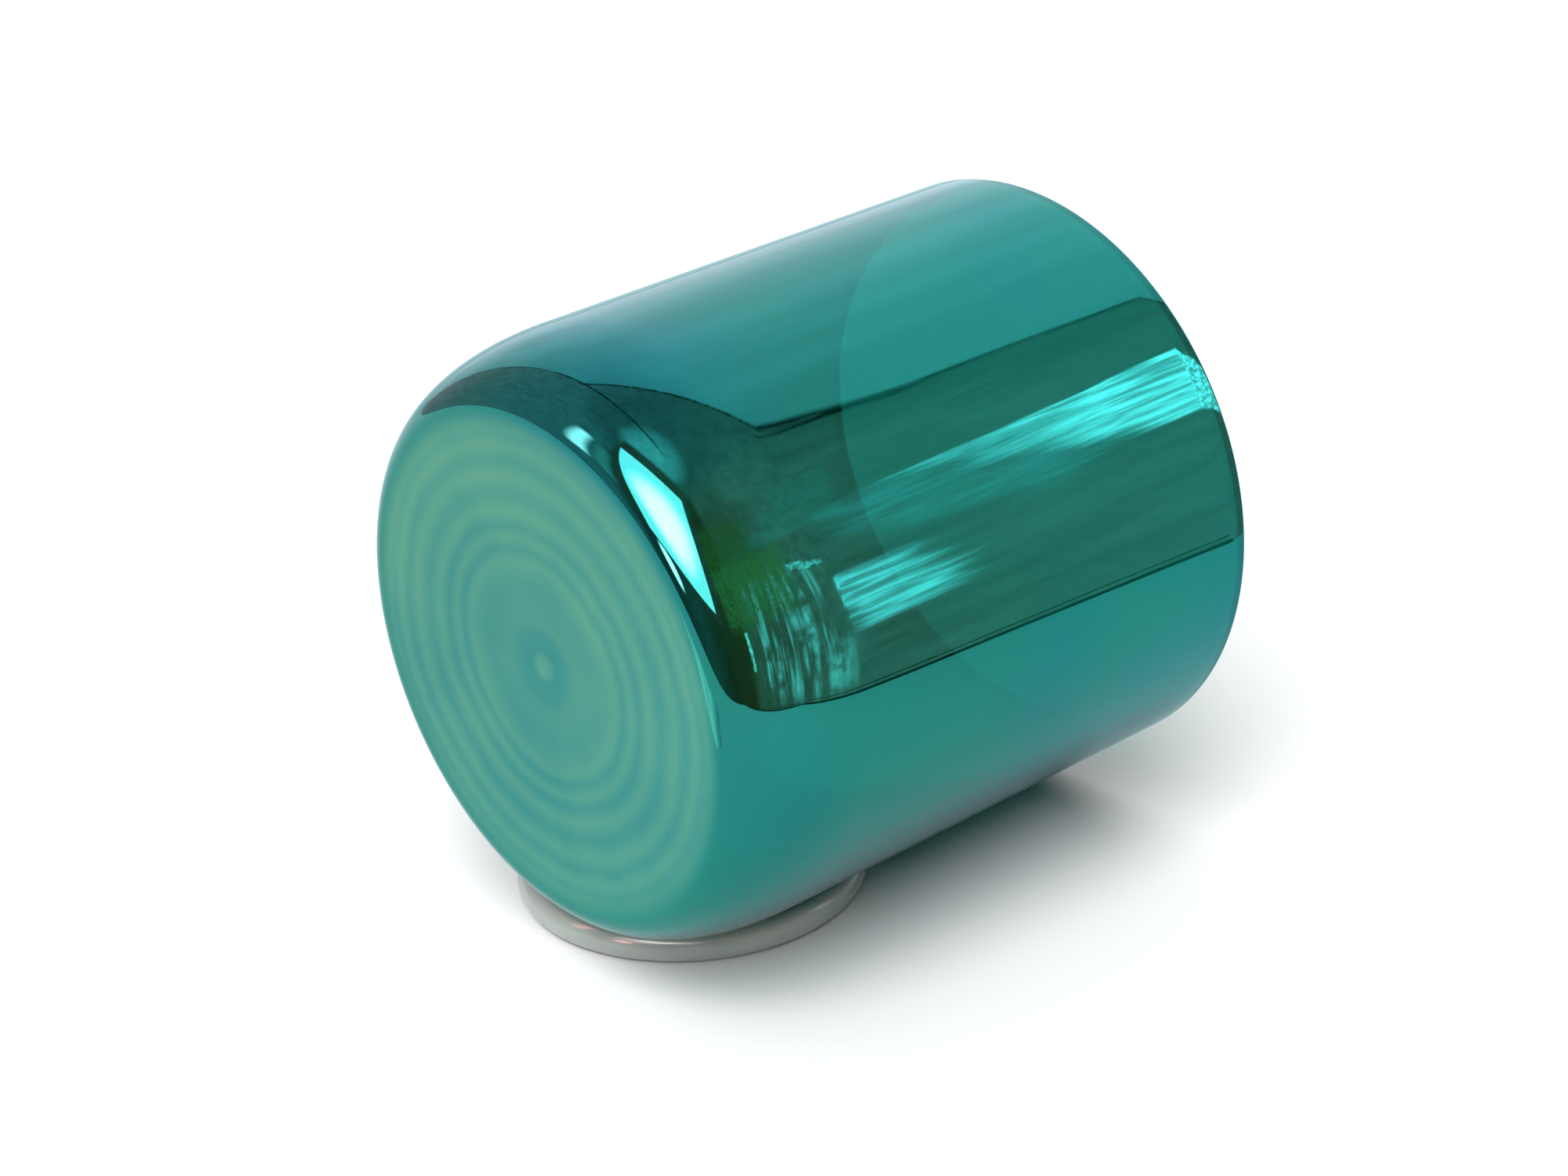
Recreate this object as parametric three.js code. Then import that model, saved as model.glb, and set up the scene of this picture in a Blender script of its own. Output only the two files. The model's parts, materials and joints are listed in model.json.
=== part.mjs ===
// Cylindrical crystal singing bowl lying on its side on a soft support ring.
// Millimetres, +Z up, the table at z = 0. The bowl's axis points along +X, from
// its closed base to its open mouth, and rises by the small tilt at which the
// bowl balances on the ring.
import * as THREE from 'three';

// Bowl
const BOWL_RADIUS = 89; // outside
const BOWL_HEIGHT = 189;
const WALL = 4;
const BASE = 6;
const CORNER_INSET = 16; // from the side in to the edge of the flat base
const CORNER_RISE = 40; // from the flat base up to the straight side
const CORNER_FULLNESS = 2.1; // 2 is an ellipse, more is squarer
const RIM_ROUND = 1.4; // fire-polished edges of the mouth
const BOWL_SEGMENTS = 96;
const CORNER_STEPS = 10;
const RIM_STEPS = 3;

// Support ring
const RING_RADIUS = 47; // of the middle of its section
const RING_SECTION = 5.3; // radius of its section
const RING_FLAT_DEPTH = 0.4; // cut off the underside, where it meets the table
const RING_SEGMENTS = 96;
const RING_STEPS = 20;

// Where the ring lies, from the middle of the bowl's base: along the bowl and to its side
const RING_ALONG = 62.7;
const RING_ASIDE = 17.8;
const CONTACT_GAP = 0.3;

const ringHeight = RING_SECTION - RING_FLAT_DEPTH;

// Points on a quarter superellipse, from the flat end to the upright side, as
// (radius, distance along the axis).
function cornerCurve(sideRadius, inset, rise, floor) {
  const points = [];
  for (let i = 0; i <= CORNER_STEPS; i++) {
    const angle = (i / CORNER_STEPS) * (Math.PI / 2);
    const out = Math.sin(angle) ** (2 / CORNER_FULLNESS);
    const drop = Math.cos(angle) ** (2 / CORNER_FULLNESS);
    points.push(new THREE.Vector2(sideRadius - inset + inset * out, floor + rise - rise * drop));
  }
  return points;
}

function outerProfile() {
  const corner = cornerCurve(BOWL_RADIUS, CORNER_INSET, CORNER_RISE, 0);
  return [new THREE.Vector2(0, 0), ...corner];
}

function innerProfile() {
  const rise = CORNER_RISE - BASE;
  const corner = cornerCurve(BOWL_RADIUS - WALL, CORNER_INSET - WALL + 1, rise, BASE);
  return [new THREE.Vector2(0, BASE), ...corner];
}

// The mouth's rounded edges, from the outside over the lip to the inside.
function rimProfile() {
  const points = [];
  for (const [radius, start] of [[BOWL_RADIUS - RIM_ROUND, 0], [BOWL_RADIUS - WALL + RIM_ROUND, 1]]) {
    for (let i = 0; i <= RIM_STEPS; i++) {
      const angle = (start + i / RIM_STEPS) * (Math.PI / 2);
      const x = radius + RIM_ROUND * Math.cos(angle);
      const y = BOWL_HEIGHT - RIM_ROUND + RIM_ROUND * Math.sin(angle);
      points.push(new THREE.Vector2(x, y));
    }
  }
  return points;
}

function makeBowl() {
  const profile = [...outerProfile(), ...rimProfile(), ...innerProfile().reverse()];
  const coatedQuartz = new THREE.MeshStandardMaterial({ color: 0x1f8f88, roughness: 0.08, metalness: 0.9 });
  const bowl = new THREE.Mesh(new THREE.LatheGeometry(profile, BOWL_SEGMENTS), coatedQuartz);
  bowl.name = 'quartz_bowl';
  bowl.rotation.z = -Math.PI / 2;
  return bowl;
}

function makeRing() {
  const flatHalfAngle = Math.acos(ringHeight / RING_SECTION);
  const sweep = 2 * Math.PI - 2 * flatHalfAngle;
  const section = [];
  for (let i = 0; i <= RING_STEPS; i++) {
    const angle = -Math.PI / 2 + flatHalfAngle + (i / RING_STEPS) * sweep;
    const x = RING_RADIUS + RING_SECTION * Math.cos(angle);
    section.push(new THREE.Vector2(x, ringHeight + RING_SECTION * Math.sin(angle)));
  }
  section.push(section[0].clone());
  const silicone = new THREE.MeshStandardMaterial({ color: 0xc9cdc9, roughness: 0.35, metalness: 0 });
  const ring = new THREE.Mesh(new THREE.LatheGeometry(section, RING_SEGMENTS), silicone);
  ring.name = 'support_ring';
  ring.rotation.x = Math.PI / 2;
  ring.position.set(RING_ALONG, RING_ASIDE, 0);
  return ring;
}

// Smallest distance from the ring's surface to the bowl's, on the base side of
// the ring (side -1) or on the mouth side (side 1).
function ringClearance(tilt, height, side) {
  const outline = [...outerProfile(), new THREE.Vector2(BOWL_RADIUS, BOWL_HEIGHT)]
    .map((point) => new THREE.Vector3(point.x, point.y, 0));
  const closest = new THREE.Vector3();
  let smallest = Infinity;
  for (let degrees = -90; degrees <= 90; degrees += 1) {
    const angle = THREE.MathUtils.degToRad(degrees);
    const x = RING_ALONG + side * RING_RADIUS * Math.cos(angle);
    const y = RING_ASIDE + RING_RADIUS * Math.sin(angle);
    const z = ringHeight - height;
    const along = x * Math.cos(tilt) + z * Math.sin(tilt);
    const below = x * Math.sin(tilt) - z * Math.cos(tilt);
    const centre = new THREE.Vector3(Math.hypot(below, y), along, 0);
    for (let i = 1; i < outline.length; i++) {
      new THREE.Line3(outline[i - 1], outline[i]).closestPointToPoint(centre, true, closest);
      smallest = Math.min(smallest, closest.distanceTo(centre) - RING_SECTION);
    }
  }
  return smallest;
}

function bisect(low, high, isHigh) {
  for (let i = 0; i < 24; i++) {
    const middle = (low + high) / 2;
    if (isHigh(middle)) {
      high = middle;
    } else {
      low = middle;
    }
  }
  return (low + high) / 2;
}

// Height of the base's middle at which the bowl just rests on one side of the ring.
function restingHeight(tilt, side) {
  return bisect(BOWL_RADIUS * 0.9, BOWL_RADIUS * 1.4, (height) => ringClearance(tilt, height, side) > CONTACT_GAP);
}

// The bowl balances where both sides of the ring carry it.
function restingPose() {
  const limit = THREE.MathUtils.degToRad(5);
  const tilt = bisect(-limit, limit, (angle) => restingHeight(angle, -1) > restingHeight(angle, 1));
  return { tilt, height: restingHeight(tilt, 1) };
}

function placeBowl(bowl) {
  const { tilt, height } = restingPose();
  const cradle = new THREE.Group();
  cradle.rotation.y = -tilt;
  cradle.position.z = height;
  cradle.add(bowl);
  return cradle;
}

const part = new THREE.Group();
part.add(makeRing());
part.add(placeBowl(makeBowl()));

// The origin is under the middle of the whole object, on the table.
part.updateMatrixWorld(true);
const middle = new THREE.Box3().setFromObject(part, true).getCenter(new THREE.Vector3());
part.position.set(-middle.x, -middle.y, 0);

export default part;
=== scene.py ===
"""A mirror-coated crystal singing bowl lying on its side on a silicone support ring.

The bowl and the ring are turned again at full smoothness over their CAD solids,
which give every size. The bowl has three surfaces: the teal metallic coat on its
side, the same coat on the satin, rippled base, and bare quartz inside. A mirror
shows what stands round it, so the studio is a white tent with one open side and
a window: cards of light in the world shader, and flat pieces on the table.
"""
import json
import math

import bpy
from mathutils import Matrix, Vector


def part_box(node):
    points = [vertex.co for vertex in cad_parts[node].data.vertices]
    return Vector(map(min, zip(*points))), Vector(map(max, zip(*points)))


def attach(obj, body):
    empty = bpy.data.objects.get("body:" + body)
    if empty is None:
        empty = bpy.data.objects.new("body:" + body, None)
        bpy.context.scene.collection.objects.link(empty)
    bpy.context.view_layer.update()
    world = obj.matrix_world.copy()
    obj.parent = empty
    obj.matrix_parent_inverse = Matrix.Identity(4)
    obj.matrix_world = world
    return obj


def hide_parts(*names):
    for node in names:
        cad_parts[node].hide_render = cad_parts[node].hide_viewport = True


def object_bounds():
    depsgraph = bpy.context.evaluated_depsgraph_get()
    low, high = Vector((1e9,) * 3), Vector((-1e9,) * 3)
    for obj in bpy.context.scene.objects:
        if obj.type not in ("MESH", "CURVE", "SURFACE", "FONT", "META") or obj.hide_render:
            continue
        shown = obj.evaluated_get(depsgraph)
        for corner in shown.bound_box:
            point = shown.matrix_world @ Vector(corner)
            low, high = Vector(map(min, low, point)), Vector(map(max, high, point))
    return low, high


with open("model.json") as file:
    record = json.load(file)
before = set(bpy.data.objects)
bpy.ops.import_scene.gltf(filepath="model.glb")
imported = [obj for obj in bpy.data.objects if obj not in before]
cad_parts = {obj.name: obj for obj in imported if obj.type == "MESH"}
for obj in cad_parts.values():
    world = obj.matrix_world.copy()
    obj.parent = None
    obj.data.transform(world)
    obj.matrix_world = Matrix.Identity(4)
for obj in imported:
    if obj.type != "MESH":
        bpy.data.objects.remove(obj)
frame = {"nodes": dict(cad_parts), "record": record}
cad_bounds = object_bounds()

# Camera, round the middle of the object's box
CAMERA_AZIMUTH = -130.4  # where it stands, in degrees from +X towards +Y
CAMERA_ELEVATION = 23.8
CAMERA_ROLL = -3.0
CAMERA_DISTANCE = 1.016
CAMERA_LENS = 80.4
CAMERA_SENSOR = 36.0
CAMERA_AIM = Vector((-0.0048, 0.0008, -0.0036))
CAMERA_CLIP = (0.05, 100.0)

# Bowl, beyond what its CAD solid gives
CORNER_FULLNESS = 2.1  # 2 is an ellipse, more is squarer
RIM_ROUND = 0.0014
RIPPLE_CRESTS = (0.0, 0.0144, 0.0309, 0.0380, 0.0458, 0.0566, 0.0648, 0.0700)
RIPPLE_HEIGHT = 0.00008
RIPPLE_WIDTH = 0.0032
RIPPLE_MARGIN = 0.006  # inside the base's edge, where the ripples fade away
DISH_DEPTH = 0.0012  # how far the middle of the base is hollowed
DISH_POWER = 1.5

# The base's rings of painted reflection from its ripples, as (radius, level): 1 is greener and lighter, 0 is
# bluer and darker
RIPPLE_REFLECTION_BANDS = (
    (0.0, 0.95), (0.0022, 0.80), (0.0055, 0.02), (0.0085, 0.15), (0.0145, 0.62), (0.0235, 0.50),
    (0.0270, 0.70), (0.0310, 0.95), (0.0345, 0.40), (0.0380, 0.90), (0.0415, 0.35), (0.0458, 0.95),
    (0.0510, 0.38), (0.0566, 0.95), (0.0605, 0.45), (0.0648, 1.0), (0.0675, 0.60), (0.0705, 0.95),
)
BAND_REACH = 0.075  # beyond the outermost ring
BAND_WANDER = 0.0050  # how far the rings stray from round
BAND_STRENGTH = 0.75
BAND_CLOUDS = (-0.20, 0.12)  # added to the level by clouds, at their darkest and lightest
PAINTED_SHADE_CLIMB = (-0.22, 0.22)  # painted shade low on the base: added to the level at the table and at CLIMB_TOP
CLIMB_TOP = 0.17
SATIN_EDGE = (0.92, 1.04)  # where the satin turns to mirror, in radii of the flat base
SATIN_DEPTH = (0.002, 0.005)  # and how far along the bowl

# Fineness of the turned meshes
AROUND = 256
BASE_STEP = 0.0006
CORNER_STEPS = 72
SIDE_STEPS = 24
RIM_STEPS = 8
INNER_CORNER_STEPS = 36
INNER_STEPS = 12
RING_AROUND = 192
RING_STEPS = 48

# Reading the CAD solid
SAME = 0.00005  # two measures this near are the same
ON_AXIS = 0.001  # this near the axis is the middle, and this far up is off the base's outside

# Colours, linear
COAT = (0.019, 0.196, 0.163)
COAT_BLUE = (0.014, 0.176, 0.184)
COAT_EDGE = (0.85, 0.90, 0.92)  # its tint where it is seen edge-on
COAT_GLASS = (0.02, 0.82, 0.62)
COAT_OPENNESS = 0.085
SATIN = (0.084, 0.266, 0.178)  # the coat on the base's crests, and then in its hollows; between them runs painted reflection
SATIN_BLUE = (0.026, 0.190, 0.176)
QUARTZ = (0.97, 0.99, 0.98)
SILICONE = (0.365, 0.385, 0.362)

# Roughness, as (smoothest, roughest) places
COAT_POLISH = (0.012, 0.035)
SATIN_FROST = (0.30, 0.37)  # under 0.28 the denoiser takes it for a mirror and leaves blotches
QUARTZ_POLISH = (0.0, 0.05)
SILICONE_SHEEN = (0.13, 0.20)
QUARTZ_IOR = 1.46
SILICONE_IOR = 1.41

# Places in the studio are (azimuth, elevation) in degrees seen from the bowl: azimuth 0 is the
# camera and 90 is to its right. A colour is linear, and times its strength.

# The tent's white wall, behind the bowl and to the right, with a dark seam along its edges
WALL = ((113, -12), (112, 51), (-151, 57), (-150, -12))
WALL_MIDDLE = (165, 15)
WALL_LEVEL = (0.27, 1.48)  # a right angle away from its middle, and at its middle
WALL_COLOUR = (0.94, 1.0, 1.12)
SEAM_LIMIT = ((111, -13), (109.5, 53), (-149, 59), (-148, -13))  # a little wider than the wall
SEAM_WIDTHS = (0.006, 0.017)  # low down and high up
SEAM_HEIGHTS = (40, 50)  # elevations between which it widens

# The dim room at the tent's open side, as (azimuth, colour), and the ceiling over it
ROOM = (
    (-150, (1.00, 0.72, 0.80)), (-100, (1.00, 0.74, 0.80)), (-72, (0.70, 0.72, 0.72)),
    (-60, (0.25, 0.22, 0.20)), (-25, (0.27, 0.30, 0.27)), (2, (0.30, 0.13, 0.05)),
    (24, (0.50, 0.15, 0.04)), (30, (1.00, 0.50, 0.34)), (50, (1.00, 0.45, 0.34)),
    (70, (1.30, 0.72, 0.62)), (90, (0.95, 0.69, 0.63)), (113, (0.62, 0.50, 0.47)),
)
CEILING = (0.60, 0.48, 0.48)
CEILING_EDGE = (60, 72)  # elevations between which it begins
CEILING_SHEEN = ((-12, 80), 0, 17, (0.95, 1.0, 1.0), 2.2)  # as (centre, inner, outer, colour, strength)
SHEEN_SHARE = 0.9

# Clear film that hangs in folds, and then the wood behind it and its brightest patches, as
# (corners, colour, strength, softness)
CURTAIN = (((34, 30), (72, 26), (76, -14), (36, -9)), (1.1, 1.0, 1.05), 2.5, 0.08)
FILM = (
    (((3, 46), (56, 50), (52, 28), (5, 24)), (1.0, 0.66, 0.12), 0.60, 0.04),
    (((12, 33), (66, 36), (60, 16), (14, 14)), (1.0, 0.84, 0.24), 0.85, 0.06),
    (((26.0, 14), (28.6, 14), (29.5, 0), (27.0, 0)), (0.9, 1.0, 0.95), 4.5, 0.004),
    (((76.6, 16), (79.2, 16), (78.3, -1), (76.8, -1)), (0.9, 1.0, 1.16), 4.2, 0.012),
    (((64.0, 29), (77.0, 23.5), (77.0, 22), (64.0, 26)), (0.9, 1.0, 1.1), 3.0, 0.006),
    (((88.0, 34), (94.5, 34.5), (98, 8), (84.0, 18)), (0.9, 1.0, 1.18), 5.8, 0.008),
    (((81, 25), (86, 34), (90, 34), (82.0, 14)), (0.9, 1.0, 1.1), 1.05, 0.014),
)

# The window's dark frame, the window, and two strips of light at their left, as
# (corners, colour, strength, softness)
WINDOW_FRAME = (((-70, 76), (22, 67), (8, 14), (-60, 14)), (0.42, 0.19, 0.14), 1.0, 0.03)
WINDOW = (((-62, 69), (14, 62), (2, 18), (-52, 19)), (1.30, 0.97, 1.0), 5.5, 0.006)
SIDE_LIGHT = (((-87, 50), (-79, 52), (-77, 22), (-84, 18)), (2.4, 0.88, 0.88), 7.0, 0.04)
FAINT_LIGHT = (((-72, 52), (-65, 52), (-65, 24), (-73, 24)), (0.95, 1.0, 0.95), 1.0, 0.05)

# The window's bright middle, and a small light below it, as (centre, inner, outer, colour, strength)
WINDOW_CORE = ((-22, 44), 2, 22, (1.0, 1.0, 1.0), 52.0)
SPOT = ((-45, 12), 2, 7, (2.4, 0.92, 0.94), 14.0)

# Flat pieces, in metres. All but the table are seen only in the bowl.
TABLE = (0.76, 0.76, 0.76)
TABLE_SIZE = 60.0
TABLE_HEIGHT = -0.0006
TENT_HEIGHT = -0.0002
# the cloth's cool tint is painted teal light thrown from the bowl
TENT_CLOTH_TEAL_LIT = (0.76, 0.83, 0.85)
TENT_SHADE = (0.42, 0.58, 0.62)  # under the bowl's mouth and beyond it
SHADE_REACH = (-0.12, 0.30)
TENT_FLOOR = (
    (1.6, -0.25), (0.28, -0.25), (0.16, -0.32), (0.02, -0.49), (-0.36, -0.56),
    (-2.7, 1.28), (-2.7, 3.0), (1.6, 3.0),
)
FRONT_EDGE = slice(1, 6)  # the points of the floor's outline that the piping follows
PIPING = ((0.0, 0.016), (0.034, 0.040))  # its dark lines, as (start, end) beyond the tent's floor
PIPING_DARK = (0.012, 0.011, 0.008)
PIPING_LIGHT = (0.05, 0.045, 0.035)
WINDOW_PATCH = ((-0.225, 0.10), (-0.285, -0.06), (-0.40, -0.08), (-0.38, 0.16))
PATCH_HEIGHT = -0.0001
PATCH_LIGHT = (1.96, 2.8)
PATCH_FADE = (-0.07, 0.05)  # from its dim end to full strength, along Y
PATCH_DIM = 0.42

# Lamps, as (name, azimuth, elevation, angle across, strength)
LAMPS = (
    ("window_side", -13, 48, 46, 4.05),
    ("tent_top", -140, 73, 92, 2.35),
)


# --- node helpers -------------------------------------------------------------

NOISE_RANGE = (0.3, 0.7)  # noise seldom leaves this range
MIX_SOCKETS = {"FLOAT": (2, 3, 0), "RGBA": (6, 7, 2)}  # a Mix node's two inputs and its output


class Nodes:
    """Adds nodes to a node tree, with inputs given as values or as other nodes' outputs."""

    def __init__(self, tree):
        self.tree = tree
        tree.nodes.clear()

    def feed(self, socket, value):
        if isinstance(value, bpy.types.NodeSocket):
            self.tree.links.new(value, socket)
        else:
            socket.default_value = value

    def add(self, kind, inputs=None, **settings):
        node = self.tree.nodes.new(kind)
        for name, value in settings.items():
            setattr(node, name, value)
        for key, value in (inputs or {}).items():
            self.feed(node.inputs[key], value)
        return node

    def math(self, operation, a, b=0.0, clamp=False):
        return self.add("ShaderNodeMath", {0: a, 1: b}, operation=operation, use_clamp=clamp).outputs[0]

    def dot(self, a, b):
        return self.add("ShaderNodeVectorMath", {0: a, 1: b}, operation="DOT_PRODUCT").outputs["Value"]

    def scale(self, vector, factor):
        return self.add("ShaderNodeVectorMath", {0: vector, "Scale": factor}, operation="SCALE").outputs[0]

    def coordinate(self, vector, axis):
        return self.add("ShaderNodeSeparateXYZ", {0: vector}).outputs[axis]

    def place(self):
        """Where the surface is, in metres."""
        return self.add("ShaderNodeTexCoord").outputs["Object"]

    def attribute(self, name):
        return self.add("ShaderNodeAttribute", attribute_name=name).outputs["Fac"]

    def ramp(self, value, low, high, out_low=0.0, out_high=1.0):
        """Smooth step from out_low to out_high as value goes from low to high."""
        inputs = {"Value": value, "From Min": low, "From Max": high, "To Min": out_low, "To Max": out_high}
        return self.add("ShaderNodeMapRange", inputs, interpolation_type="SMOOTHSTEP").outputs[0]

    def mix(self, factor, a, b, kind="RGBA"):
        """From a to b as factor goes from 0 to 1: colours, or numbers if kind is FLOAT."""
        node = self.add("ShaderNodeMix", data_type=kind)
        first, second, output = MIX_SOCKETS[kind]
        self.feed(node.inputs[0], factor)
        self.feed(node.inputs[first], a)
        self.feed(node.inputs[second], b)
        return node.outputs[output]

    def noise(self, vector, scale, detail=2.0, roughness=0.5):
        inputs = {"Vector": vector, "Scale": scale, "Detail": detail, "Roughness": roughness}
        return self.add("ShaderNodeTexNoise", inputs).outputs[0]

    def uneven(self, vector, scale, detail, low=0.0, high=1.0, roughness=0.5):
        """Noise that wanders over the whole way from low to high."""
        return self.ramp(self.noise(vector, scale, detail, roughness), *NOISE_RANGE, low, high)

    def bump(self, height, strength, distance):
        inputs = {"Height": height, "Strength": strength, "Distance": distance}
        return self.add("ShaderNodeBump", inputs).outputs[0]

    def colour_stops(self, factor, stops):
        """A colour ramp through stops of (position, colour)."""
        ramp = self.add("ShaderNodeValToRGB", {0: factor})
        elements = ramp.color_ramp.elements
        while len(elements) < len(stops):
            elements.new(0.5)
        for element, (position, colour) in zip(elements, stops):
            element.position = position
            element.color = rgba(colour)
        return ramp


def rgba(colour, scale=1.0):
    return (colour[0] * scale, colour[1] * scale, colour[2] * scale, 1.0)


# --- shapes -------------------------------------------------------------------

def bowl_frame():
    """The bowl's placing: its z axis runs from the middle of the base to the mouth."""
    base = next(m for m in frame["record"]["mounts"] if m["name"] == "bowl_base")
    axis = -Vector(base["axis"]).normalized()
    side = Vector((0.0, 1.0, 0.0))
    place = Matrix((side.cross(axis), side, axis)).transposed().to_4x4()
    place.translation = Vector(base["pos_m"])
    return place


def bowl_sizes(place):
    """The CAD bowl's own measures, as distances along its axis and radii."""
    turned = place.inverted()
    points = [turned @ v.co for v in frame["nodes"]["quartz_bowl"].data.vertices]
    rings = [(p.z, math.hypot(p.x, p.y)) for p in points]
    radius = max(r for _, r in rings)
    height = max(z for z, _ in rings)
    inner_base = min(z for z, r in rings if z > ON_AXIS and r < ON_AXIS)
    return {
        "radius": radius,
        "height": height,
        "flat": max(r for z, r in rings if z < SAME),
        "rise": min(z for z, r in rings if r > radius - SAME),
        "base": inner_base,
        "inner_flat": max(r for z, r in rings if abs(z - inner_base) < SAME and r < radius * 0.9),
        "inner_radius": min(r for z, r in rings if z > height * 0.9),
    }


def corner(outside, flat, floor, rise, steps):
    """Quarter superellipse from the edge of a flat end up to the side, as (radius, height)."""
    points = []
    for i in range(steps + 1):
        angle = math.pi / 2 * i / steps
        out = math.sin(angle) ** (2 / CORNER_FULLNESS)
        drop = max(math.cos(angle), 0.0) ** (2 / CORNER_FULLNESS)
        points.append((flat + (outside - flat) * out, floor + rise * (1 - drop)))
    return points


def straight(radius, low, high, steps):
    """Points up a straight side, without its two ends."""
    return [(radius, low + (high - low) * i / steps) for i in range(1, steps)]


def base_relief(radius, flat):
    """How far the base stands in from its flat plane: a shallow dish with round ripples."""
    dish = DISH_DEPTH * max(0.0, 1 - (radius / flat) ** 2) ** DISH_POWER
    crest = min(abs(radius - c) for c in RIPPLE_CRESTS)
    ripple = RIPPLE_HEIGHT * (1 - math.exp(-(crest / RIPPLE_WIDTH) ** 2))
    fade = min(1.0, max(0.0, (flat - radius) / RIPPLE_MARGIN))
    return dish + ripple * fade * fade * (3 - 2 * fade)


def rim(outside, inside, top):
    """The mouth's two rounded edges, from the outside over the lip to the inside."""
    points = []
    for middle, start in ((outside - RIM_ROUND, 0), (inside + RIM_ROUND, 1)):
        for i in range(RIM_STEPS + 1):
            angle = math.pi / 2 * (start + i / RIM_STEPS)
            points.append((middle + RIM_ROUND * math.cos(angle), top - RIM_ROUND * (1 - math.sin(angle))))
    return points


def bowl_section(size):
    """The coated outside, from the middle of the base to the rim, and the bare inside from there back."""
    flat, rise, radius = size["flat"], size["rise"], size["radius"]
    inner_flat, inner_radius, floor = size["inner_flat"], size["inner_radius"], size["base"]
    side_top = size["height"] - RIM_ROUND
    steps = int(flat / BASE_STEP)
    outside = [(flat * i / steps, base_relief(flat * i / steps, flat)) for i in range(steps)]
    outside += corner(radius, flat, 0.0, rise, CORNER_STEPS)
    outside += straight(radius, rise, side_top, SIDE_STEPS)
    outside += rim(radius, inner_radius, size["height"])
    inside = [(inner_flat * i / INNER_STEPS, floor) for i in range(INNER_STEPS)]
    inside += corner(inner_radius, inner_flat, floor, rise - floor, INNER_CORNER_STEPS)
    inside += straight(inner_radius, rise, side_top, INNER_STEPS)
    return outside, inside[::-1]


def revolve(name, section, place, around, closed=False):
    """Turns a section of (radius, height) round place's z axis. One from axis to axis closes there."""
    vertices, rows = [], []
    for r, z in section:
        if r == 0.0:
            rows.append([len(vertices)] * around)
            vertices.append(place @ Vector((0.0, 0.0, z)))
            continue
        rows.append(list(range(len(vertices), len(vertices) + around)))
        for i in range(around):
            angle = 2 * math.pi * i / around
            vertices.append(place @ Vector((r * math.cos(angle), r * math.sin(angle), z)))
    faces = []
    for low, high in zip(rows, rows[1:] + rows[:1] if closed else rows[1:]):
        for i in range(around):
            j = (i + 1) % around
            faces.append(tuple(dict.fromkeys((low[i], low[j], high[j], high[i]))))
    mesh = bpy.data.meshes.new(name)
    mesh.from_pydata(vertices, [], faces)
    mesh.polygons.foreach_set("use_smooth", [True] * len(faces))
    mesh.validate()
    piece = bpy.data.objects.new(name, mesh)
    bpy.context.scene.collection.objects.link(piece)
    return piece


def add_attribute(piece, name, values):
    piece.data.attributes.new(name, "FLOAT", "POINT").data.foreach_set("value", values)


def make_bowl():
    place = bowl_frame()
    size = bowl_sizes(place)
    outside, inside = bowl_section(size)
    bowl = revolve("singing_bowl", outside + inside, place, AROUND)
    turned = place.inverted()
    local = [turned @ v.co for v in bowl.data.vertices]
    add_attribute(bowl, "from_axis", [math.hypot(p.x, p.y) for p in local])
    add_attribute(bowl, "along_axis", [p.z for p in local])
    bowl.data.materials.append(coat_material(size))
    bowl.data.materials.append(quartz_material())
    for i, face in enumerate(bowl.data.polygons):
        face.material_index = 0 if i // AROUND < len(outside) - 1 else 1
    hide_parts("quartz_bowl")
    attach(bowl, "bowl")


def make_ring():
    """The ring's round section, with the flat that it stands on, turned smoothly."""
    low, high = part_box("support_ring")
    middle = (low + high) / 2
    radii = [math.hypot(v.co.x - middle.x, v.co.y - middle.y)
             for v in frame["nodes"]["support_ring"].data.vertices]
    section_radius = (max(radii) - min(radii)) / 2
    ring_radius = (max(radii) + min(radii)) / 2
    centre_height = high.z - section_radius
    half_flat = math.acos(min(1.0, (centre_height - low.z) / section_radius))
    sweep = 2 * math.pi - 2 * half_flat
    section = []
    for i in range(RING_STEPS + 1):
        angle = -math.pi / 2 + half_flat + sweep * i / RING_STEPS
        x = ring_radius + section_radius * math.cos(angle)
        section.append((x, centre_height + section_radius * math.sin(angle)))
    place = Matrix.Translation((middle.x, middle.y, 0.0))
    ring = revolve("silicone_ring", section, place, RING_AROUND, closed=True)
    ring.data.materials.append(silicone_material())
    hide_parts("support_ring")
    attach(ring, "ring")


# --- materials ----------------------------------------------------------------

def new_material(name):
    material = bpy.data.materials.new(name)
    material.use_nodes = True
    return material, Nodes(material.node_tree)


def satin_with_painted_reflection(n, place, from_axis):
    """Painted reflection in soft rings round the middle of the base: greener on the ripples' crests, bluer in
    their hollows, with painted shade low down.
    """
    wander = n.math("MULTIPLY", n.math("SUBTRACT", n.noise(place, 26.0, 3.0), 0.5), BAND_WANDER)
    strayed = n.math("ADD", from_axis, wander)
    # painted reflection of the ripples, in rings
    stops = [(radius / BAND_REACH, (level, level, level)) for radius, level in RIPPLE_REFLECTION_BANDS]
    bands = n.colour_stops(n.math("DIVIDE", strayed, BAND_REACH), stops)
    bands.color_ramp.interpolation = "EASE"
    clouds = n.uneven(place, 26.0, 4.0, *BAND_CLOUDS)
    # painted shade: the base darker low down by the table and lighter higher up
    climb = n.ramp(n.coordinate(place, "Z"), 0.0, CLIMB_TOP, *PAINTED_SHADE_CLIMB)
    cloudy = n.math("ADD", clouds, climb)
    crests = n.math("MULTIPLY", bands.outputs[0], BAND_STRENGTH)
    return n.mix(n.math("ADD", crests, cloudy, clamp=True), rgba(SATIN_BLUE), rgba(SATIN))


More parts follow.
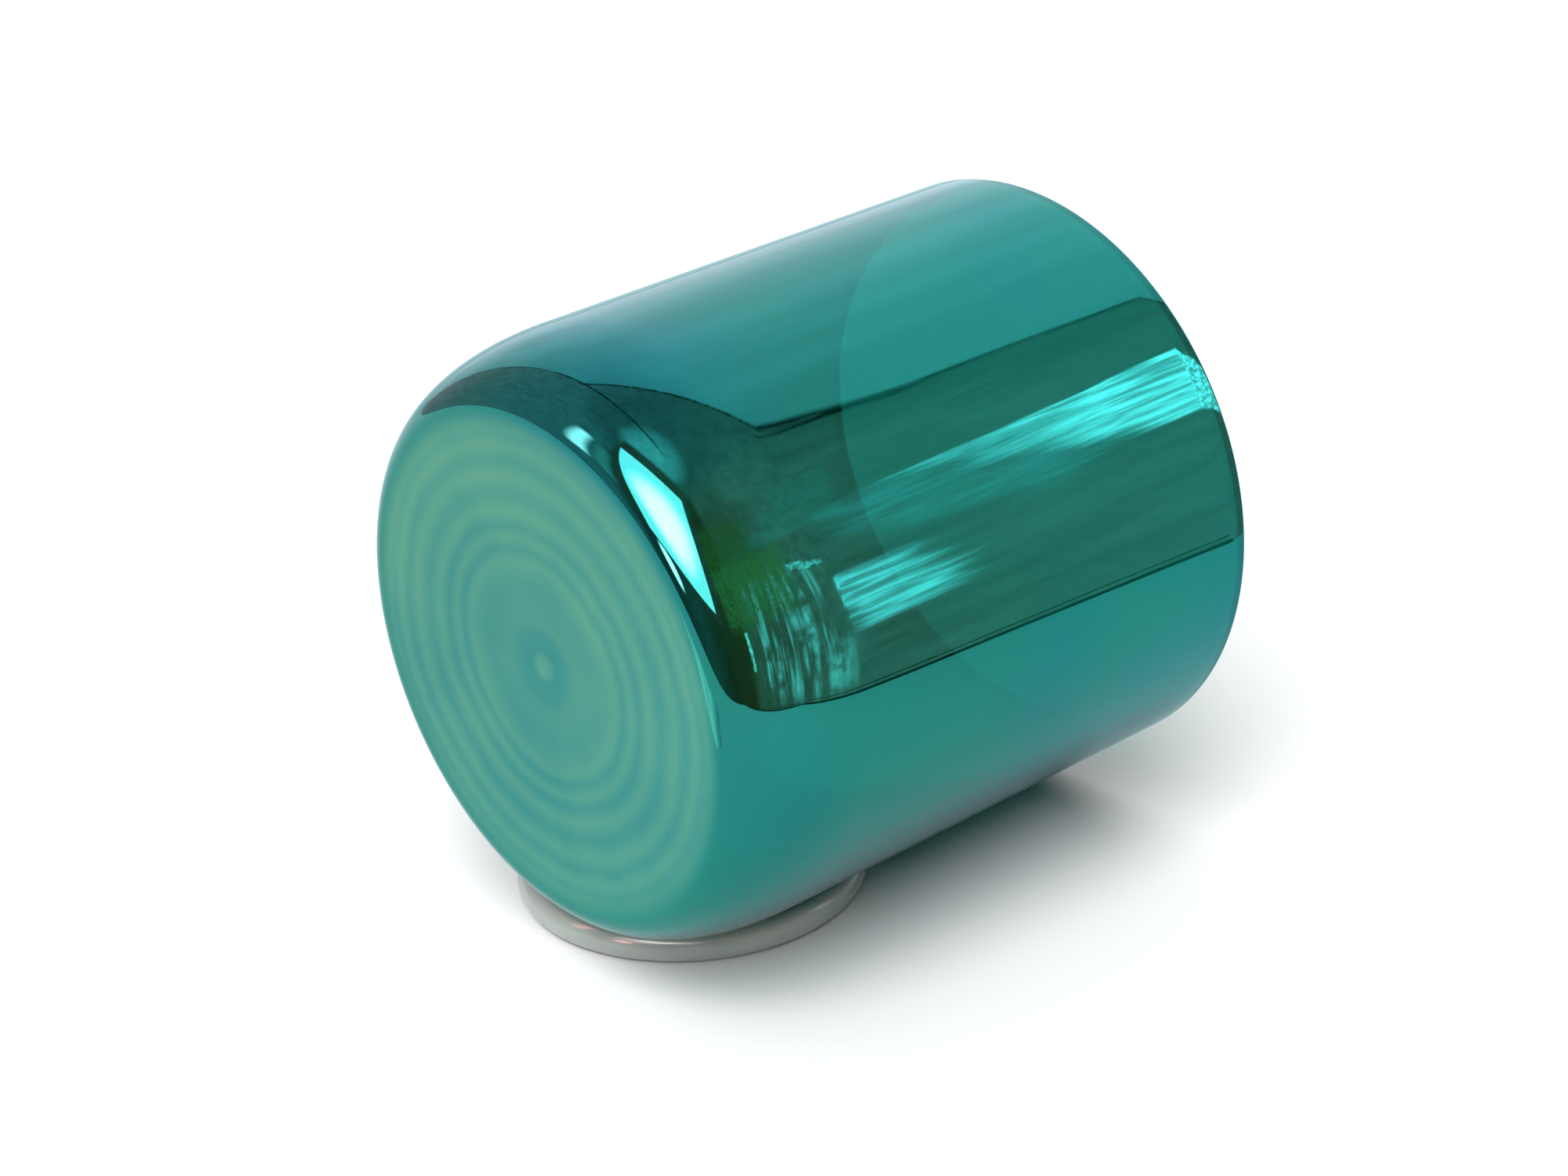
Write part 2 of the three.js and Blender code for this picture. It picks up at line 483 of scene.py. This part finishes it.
def coat_material(size):
    """Metallic vapour coat on quartz: a teal mirror that lets a little light through, satin on the base."""
    material, n = new_material("teal_vapour_coat")
    place = n.place()
    from_axis = n.attribute("from_axis")
    within_edge = n.ramp(from_axis, *(size["flat"] * share for share in SATIN_EDGE), 1.0, 0.0)
    on_base = n.math("MULTIPLY", within_edge, n.ramp(n.attribute("along_axis"), *SATIN_DEPTH, 1.0, 0.0))
    mirror = n.mix(n.ramp(n.noise(place, 9.0, 2.0), 0.42, 0.68), rgba(COAT), rgba(COAT_BLUE))
    polish = n.uneven(place, 30.0, 3.0, *COAT_POLISH)
    frost = n.uneven(place, 160.0, 3.0, *SATIN_FROST)
    coat = n.add("ShaderNodeBsdfPrincipled", {
        # the base's satin colour holds painted reflection in rings and painted shade low down
        "Base Color": n.mix(on_base, mirror, satin_with_painted_reflection(n, place, from_axis)),
        "Metallic": 1.0,
        "Roughness": n.mix(on_base, polish, frost, "FLOAT"),
        "Normal": n.bump(n.noise(place, 14.0, 1.0), 0.05, 0.002),
        "Specular Tint": rgba(COAT_EDGE),
    })
    clear = {"Color": rgba(COAT_GLASS), "Roughness": 0.0, "IOR": QUARTZ_IOR}
    through = n.add("ShaderNodeBsdfRefraction", clear)
    openness = n.math("MULTIPLY", n.math("SUBTRACT", 1.0, on_base), COAT_OPENNESS)
    surface = n.add("ShaderNodeMixShader", {0: openness, 1: coat.outputs[0], 2: through.outputs[0]})
    n.add("ShaderNodeOutputMaterial", {"Surface": surface.outputs[0]})
    return material


def quartz_material():
    """Bare, clear quartz."""
    material, n = new_material("clear_quartz")
    place = n.place()
    glass = n.add("ShaderNodeBsdfGlass", {
        "Color": rgba(QUARTZ),
        "Roughness": n.uneven(place, 90.0, 3.0, *QUARTZ_POLISH),
        "IOR": QUARTZ_IOR,
        "Normal": n.bump(n.noise(place, 40.0, 2.0), 0.08, 0.001),
    })
    n.add("ShaderNodeOutputMaterial", {"Surface": glass.outputs[0]})
    return material


def silicone_material():
    """Milky, translucent silicone with a soft sheen."""
    material, n = new_material("milky_silicone")
    place = n.place()
    silicone = n.add("ShaderNodeBsdfPrincipled", {
        "Base Color": n.mix(n.uneven(place, 30.0, 3.0), rgba(SILICONE), rgba(SILICONE, 0.94)),
        "Roughness": n.uneven(place, 60.0, 3.0, *SILICONE_SHEEN),
        "IOR": SILICONE_IOR,
        "Subsurface Weight": 0.4,
        "Subsurface Radius": (1.0, 1.0, 0.95),
        "Subsurface Scale": 0.003,
    })
    n.add("ShaderNodeOutputMaterial", {"Surface": silicone.outputs[0]})
    return material


def matt_material(name, bright, dark, shade):
    """A matt surface between two colours, by shade(n, place)."""
    material, n = new_material(name)
    colour = n.mix(shade(n, n.place()), rgba(bright), rgba(dark))
    inputs = {"Base Color": colour, "Roughness": 0.7, "Specular IOR Level": 0.0}
    surface = n.add("ShaderNodeBsdfPrincipled", inputs)
    n.add("ShaderNodeOutputMaterial", {"Surface": surface.outputs[0]})
    return material


def shining_material(name, strength):
    """A white surface that shines by itself, by strength(n, place)."""
    material, n = new_material(name)
    inputs = {"Color": (1.0, 1.0, 1.0, 1.0), "Strength": strength(n, n.place())}
    n.add("ShaderNodeOutputMaterial", {"Surface": n.add("ShaderNodeEmission", inputs).outputs[0]})
    return material


# --- what the bowl mirrors, by direction --------------------------------------

def direction(azimuth, elevation):
    a, e = math.radians(azimuth), math.radians(elevation)
    return Vector((math.cos(e) * math.cos(a), math.cos(e) * math.sin(a), math.sin(e)))


def sine(degrees):
    return math.sin(math.radians(degrees))


def cosine(degrees):
    return math.cos(math.radians(degrees))


def card(n, look, corners, softness):
    """1 inside a flat card seen between these corners, 0 outside, with edges this soft."""
    middle = sum((direction(*c) for c in corners), Vector())
    mask = None
    for a, b in zip(corners, corners[1:] + corners[:1]):
        inward = direction(*a).cross(direction(*b)).normalized()
        inward = inward if inward.dot(middle) > 0 else -inward
        edge = n.ramp(n.dot(look, inward), -softness, softness)
        mask = edge if mask is None else n.math("MULTIPLY", mask, edge)
    return mask


def line_between(n, look, a, b, half_width):
    """1 on the great circle through two places, falling to 0 at half_width, the sine of an angle."""
    across = n.math("ABSOLUTE", n.dot(look, direction(*a).cross(direction(*b)).normalized()))
    return n.ramp(across, 0.0, half_width, 1.0, 0.0)


def add_light(n, light, mask, colour, strength=1.0):
    """light, with this colour in place of what it had wherever mask is 1."""
    return n.mix(mask, light, rgba(colour, strength))


def add_card(n, look, light, lit_card, share=1.0):
    """light, with this card in front of it, at this share of its full presence."""
    corners, colour, strength, softness = lit_card
    mask = n.math("MULTIPLY", card(n, look, corners, softness), share)
    return add_light(n, light, mask, colour, strength)


def add_glow(n, look, light, lit_glow, share=1.0):
    """light, with a round glow in front of it that fades out between two angles in degrees."""
    centre, inner, outer, colour, strength = lit_glow
    mask = n.ramp(n.dot(look, direction(*centre)), cosine(outer), cosine(inner))
    return add_light(n, light, n.math("MULTIPLY", mask, share), colour, strength)


def dim(n, light, mask, keep):
    """light, darkened to this share of itself wherever mask is 1."""
    return n.scale(light, n.math("SUBTRACT", 1.0, n.math("MULTIPLY", mask, 1.0 - keep)))


def ragged(n, look, scale, amount):
    """look, shaken about by noise, so that a card's edges come out ragged."""
    inputs = {"Vector": look, "Scale": scale, "Detail": 5.0, "Roughness": 0.65}
    shake = n.add("ShaderNodeTexNoise", inputs).outputs[1]
    centred = n.add("ShaderNodeVectorMath", {0: shake, 1: (0.5, 0.5, 0.5)}, operation="SUBTRACT").outputs[0]
    offset = n.scale(centred, amount)
    return n.add("ShaderNodeVectorMath", {0: look, 1: offset}, operation="ADD").outputs[0]


def turn_round(n, look):
    """The azimuth of look, in radians."""
    parts = n.add("ShaderNodeSeparateXYZ", {0: look})
    return n.math("ARCTAN2", parts.outputs["Y"], parts.outputs["X"])


def room_light(n, look):
    """The dim room beyond the tent's open side, and the ceiling over it."""
    turn = n.math("ADD", n.math("DIVIDE", turn_round(n, look), 2 * math.pi), 0.5)
    light = n.colour_stops(turn, [(azimuth / 360 + 0.5, colour) for azimuth, colour in ROOM]).outputs[0]
    ceiling = n.ramp(n.coordinate(look, "Z"), *(sine(edge) for edge in CEILING_EDGE))
    light = add_light(n, light, ceiling, CEILING)
    light = add_glow(n, look, light, CEILING_SHEEN, SHEEN_SHARE)
    creases = n.uneven(look, 14.0, 6.0, 0.0, 0.45, 0.6)
    fine_creases = n.ramp(n.noise(look, 95.0, 6.0, 0.75), 0.35, 0.65, 0.0, 0.4)
    return dim(n, dim(n, light, creases, 0.35), fine_creases, 0.45)


def film_light(n, look, light):
    """Folds of clear film and some wood at the tent's mouth, which catch the light in upright streaks."""
    across = n.math("MULTIPLY", turn_round(n, look), 17.0)
    upwards = n.math("MULTIPLY", n.coordinate(look, "Z"), 2.0)
    folded = n.add("ShaderNodeCombineXYZ", {"X": across, "Y": upwards}).outputs[0]
    folds = n.ramp(n.noise(folded, 1.0, 3.0, 0.55), 0.42, 0.66)
    patches = n.ramp(n.noise(look, 6.0, 3.0, 0.6), 0.34, 0.56)
    light = add_card(n, look, light, CURTAIN, n.math("MULTIPLY", folds, patches))
    crumple = n.ramp(n.noise(look, 42.0, 5.0, 0.65), 0.38, 0.62, 0.25, 1.0)
    shaken = ragged(n, look, 9.0, 0.09)
    for lit_card in FILM:
        light = add_card(n, shaken, light, lit_card, crumple)
    return light


def window_light(n, look, light):
    """The window at the camera's left with its dark frame, and the smaller lights beside it."""
    light = add_card(n, look, light, WINDOW_FRAME)
    light = add_card(n, look, light, WINDOW)
    corners, _, _, softness = WINDOW
    light = add_glow(n, look, light, WINDOW_CORE, card(n, look, corners, softness))
    light = add_glow(n, look, light, SPOT)
    light = add_card(n, look, light, SIDE_LIGHT)
    return add_card(n, look, light, FAINT_LIGHT)


def tent_light(n, look, light):
    """The tent's wall, brightest low down behind the bowl, with soft folds and dark seams along its edges."""
    off_middle = n.dot(look, direction(*WALL_MIDDLE))
    dimmest, brightest = WALL_LEVEL
    inputs = {"Value": off_middle, "To Min": dimmest, "To Max": brightest}
    level = n.add("ShaderNodeMapRange", inputs).outputs[0]
    folds = n.uneven(look, 5.0, 3.0, 0.92, 1.08)
    cloth = n.scale(WALL_COLOUR, n.math("MULTIPLY", level, folds))
    light = n.mix(card(n, look, WALL, 0.006), light, cloth)
    around = card(n, look, SEAM_LIMIT, 0.004)
    beyond = n.ramp(off_middle, 0.12, 0.25)  # the far seam runs on past the wall's corner
    width = n.ramp(n.coordinate(look, "Z"), *(sine(height) for height in SEAM_HEIGHTS), *SEAM_WIDTHS)
    worn = n.ramp(n.noise(look, 30.0, 4.0, 0.7), 0.38, 0.50, 0.35, 1.0)
    for a, b, where in zip(WALL, WALL[1:], (around, around, beyond)):
        seam = n.math("MULTIPLY", line_between(n, look, a, b, width), n.math("MULTIPLY", where, worn))
        light = dim(n, light, seam, 0.05)
    return light


def make_world():
    """The tent, the window and the room in the bowl, and a plain white backdrop to the camera."""
    world = bpy.data.worlds.new("light_tent")
    bpy.context.scene.world = world
    world.use_nodes = True
    world.cycles_visibility.diffuse = False  # the lamps light the table, the ring and the shadows
    n = Nodes(world.node_tree)
    generated = n.add("ShaderNodeTexCoord").outputs["Generated"]
    turned = {"Vector": generated, "Angle": math.radians(-CAMERA_AZIMUTH)}
    look = n.add("ShaderNodeVectorRotate", turned, rotation_type="Z_AXIS").outputs[0]
    light = room_light(n, look)
    light = film_light(n, look, light)
    light = window_light(n, look, light)
    light = tent_light(n, look, light)
    studio = n.add("ShaderNodeBackground", {"Color": light, "Strength": 1.0}).outputs[0]
    backdrop = n.add("ShaderNodeBackground", {"Color": (1.0, 1.0, 1.0, 1.0), "Strength": 1.0}).outputs[0]
    seen = n.add("ShaderNodeLightPath").outputs["Is Camera Ray"]
    shown = n.add("ShaderNodeMixShader", {0: seen, 1: studio, 2: backdrop}).outputs[0]
    n.add("ShaderNodeOutputWorld", {"Surface": shown})


# --- flat pieces, lamps and camera --------------------------------------------

def flat_piece(name, outlines, height, material):
    """A flat stage object from outlines in metres."""
    vertices, faces = [], []
    for outline in outlines:
        faces.append(tuple(range(len(vertices), len(vertices) + len(outline))))
        vertices += [(x, y, height) for x, y in outline]
    mesh = bpy.data.meshes.new(name)
    mesh.from_pydata(vertices, [], faces)
    mesh.materials.append(material)
    piece = bpy.data.objects.new(name, mesh)
    bpy.context.scene.collection.objects.link(piece)
    return piece


def only_mirrored(piece):
    """Leaves a piece to be seen in the bowl, and nowhere else."""
    piece.visible_camera = False
    piece.visible_shadow = False
    piece.visible_diffuse = False


def make_table():
    """The table, which the camera sees and the bowl doesn't mirror."""
    far = TABLE_SIZE / 2
    outline = ((-far, -far), (far, -far), (far, far), (-far, far))
    darker = tuple(value * 0.98 for value in TABLE)
    material = matt_material("pale_table", TABLE, darker, lambda n, place: n.noise(place, 3.0))
    table = flat_piece("table", [outline], TABLE_HEIGHT, material)
    table.visible_glossy = False


def make_tent_floor():
    """The tent's cloth on the table, with painted teal light in its cool tint and painted shade that deepens
    along the bowl towards its mouth.
    """
    material = matt_material(
        "tent_cloth_painted_light", TENT_CLOTH_TEAL_LIT, TENT_SHADE,
        lambda n, place: n.ramp(n.coordinate(place, "X"), *SHADE_REACH))
    only_mirrored(flat_piece("tent_floor", [TENT_FLOOR], TENT_HEIGHT, material))


def make_piping():
    """The piping along the front edge of the tent's floor: a dark cord, a light lip and a thin dark line."""
    strips = []
    outline = [Vector(point) for point in TENT_FLOOR[FRONT_EDGE]]
    for start, end in PIPING:
        for a, b in zip(outline, outline[1:]):
            away = Vector(((a - b).y, (b - a).x)).normalized()
            corners = ((a, start), (b, start), (b, end), (a, end))
            strips.append([tuple(point + away * reach) for point, reach in corners])
    material = matt_material(
        "dark_piping", PIPING_DARK, PIPING_LIGHT, lambda n, place: n.noise(place, 90.0, 3.0))
    only_mirrored(flat_piece("tent_piping", strips, TENT_HEIGHT, material))


def patch_strength(n, place):
    uneven = n.ramp(n.noise(place, 18.0, 3.0), 0.35, 0.65, *PATCH_LIGHT)
    return n.math("MULTIPLY", uneven, n.ramp(n.coordinate(place, "Y"), *PATCH_FADE, PATCH_DIM, 1.0))


def make_window_patch():
    """Where the window's light falls on the tent's floor, beside the bowl's base."""
    material = shining_material("window_light_on_cloth", patch_strength)
    only_mirrored(flat_piece("window_patch", [WINDOW_PATCH], PATCH_HEIGHT, material))


def make_lamps():
    """Very soft, even lights, which the mirror doesn't show."""
    for name, azimuth, elevation, spread, strength in LAMPS:
        data = bpy.data.lights.new(name, "SUN")
        data.angle = math.radians(spread)
        data.energy = strength
        lamp = bpy.data.objects.new(name, data)
        bpy.context.scene.collection.objects.link(lamp)
        shining = -direction(CAMERA_AZIMUTH + azimuth, elevation)
        lamp.rotation_euler = shining.to_track_quat("-Z", "Y").to_euler()
        lamp.visible_glossy = False
        lamp.visible_transmission = False
        lamp.visible_camera = False


def make_camera():
    data = bpy.data.cameras.new("camera")
    data.sensor_width = CAMERA_SENSOR
    data.lens = CAMERA_LENS
    data.clip_start, data.clip_end = CAMERA_CLIP
    camera = bpy.data.objects.new("camera", data)
    bpy.context.scene.collection.objects.link(camera)
    low, high = cad_bounds
    target = (low + high) / 2 + CAMERA_AIM
    back = direction(CAMERA_AZIMUTH, CAMERA_ELEVATION)
    camera.location = target + back * CAMERA_DISTANCE
    upright = (-back).to_track_quat("-Z", "Y").to_matrix()
    camera.rotation_euler = (upright @ Matrix.Rotation(math.radians(CAMERA_ROLL), 3, "Z")).to_euler()
    bpy.context.scene.camera = camera


def set_tone():
    scene = bpy.context.scene
    scene.view_settings.view_transform = "Standard"
    scene.view_settings.look = "None"


make_camera()
make_bowl()
make_ring()
make_table()
make_tent_floor()
make_piping()
make_window_patch()
make_world()
make_lamps()
set_tone()
